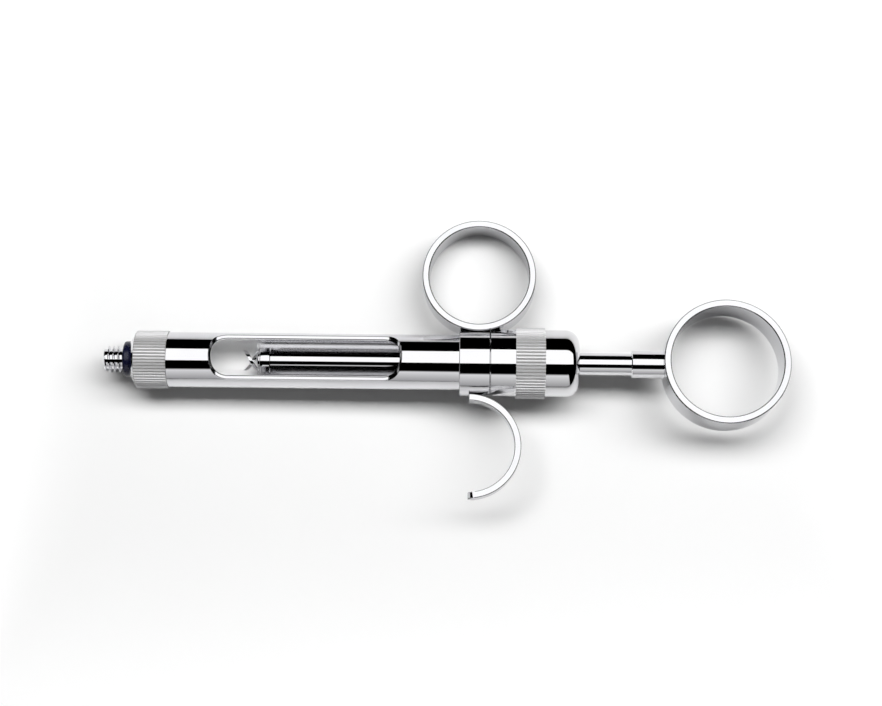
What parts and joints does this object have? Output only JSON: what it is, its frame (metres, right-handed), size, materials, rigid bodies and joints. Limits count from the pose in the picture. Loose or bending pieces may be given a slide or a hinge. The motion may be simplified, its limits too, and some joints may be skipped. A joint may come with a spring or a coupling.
{
  "type": "self-aspirating dental cartridge syringe",
  "caption": "Polished metal cartridge syringe with a windowed barrel, threaded needle hub, finger ring, finger hook and a sliding plunger with a thumb ring.",
  "frame": {"origin": "on the syringe's axis, at the seat where the needle's hub stops against the washer", "axes": "+X along the syringe toward the thumb ring, +Y toward the finger ring, +Z out of the barrel's window"},
  "size_m": [0.1477, 0.0608, 0.0154],
  "materials": {
    "polished_steel": "mirror polished stainless steel",
    "blue_plastic": "glossy dark blue",
    "seal_rubber": "black rubber",
    "spring_steel": "plain spring steel",
    "bush_brass": "turned brass"
  },
  "bodies": {
    "barrel": {"barrel": "polished_steel", "barrel_spigot": "polished_steel", "finger_collar": "polished_steel", "finger_ring": "polished_steel", "finger_hook": "polished_steel"},
    "needle_hub": {"needle_hub": "polished_steel", "hub_washer": "blue_plastic", "front_gasket": "seal_rubber"},
    "front_nut": {"front_nut": "polished_steel"},
    "guide_bush": {"guide_bush": "bush_brass"},
    "rear_cap": {"rear_cap": "polished_steel", "breech_gasket": "seal_rubber", "bush_clip": "spring_steel"},
    "rod_drag_ring": {"rod_drag_ring": "seal_rubber"},
    "plunger": {"plunger_rod": "polished_steel", "plunger_head": "polished_steel", "harpoon_tip": "polished_steel", "thumb_ferrule": "polished_steel", "thumb_ring": "polished_steel"}
  },
  "joints": [
    {"name": "hub_release", "type": "slide", "parent": "barrel", "child": "needle_hub", "axis": [-1, 0, 0], "range_m": [0, 0.0036]},
    {"name": "nut_turn", "type": "hinge", "parent": "needle_hub", "child": "front_nut", "pos_m": [0.0055, 0, 0], "axis": [-1, 0, 0], "range_deg": [0, 1728]},
    {"name": "cap_release", "type": "slide", "parent": "barrel", "child": "guide_bush", "axis": [1, 0, 0], "range_m": [0, 0.006]},
    {"name": "cap_turn", "type": "hinge", "parent": "guide_bush", "child": "rear_cap", "pos_m": [0.0888, 0, 0], "axis": [1, 0, 0], "range_deg": [0, 2160]},
    {"name": "plunger_turn", "type": "hinge", "parent": "guide_bush", "child": "rod_drag_ring", "pos_m": [0.0933, 0, 0], "axis": [1, 0, 0], "continuous": true},
    {"name": "plunger_slide", "type": "slide", "parent": "rod_drag_ring", "child": "plunger", "axis": [-1, 0, 0], "range_m": [-0.0548, 0.011]}
  ],
  "couplings": [
    {"joint": "nut_turn", "follows": "hub_release", "rad_per_m": 8377.5},
    {"joint": "cap_turn", "follows": "cap_release", "rad_per_m": 6283.1}
  ]
}
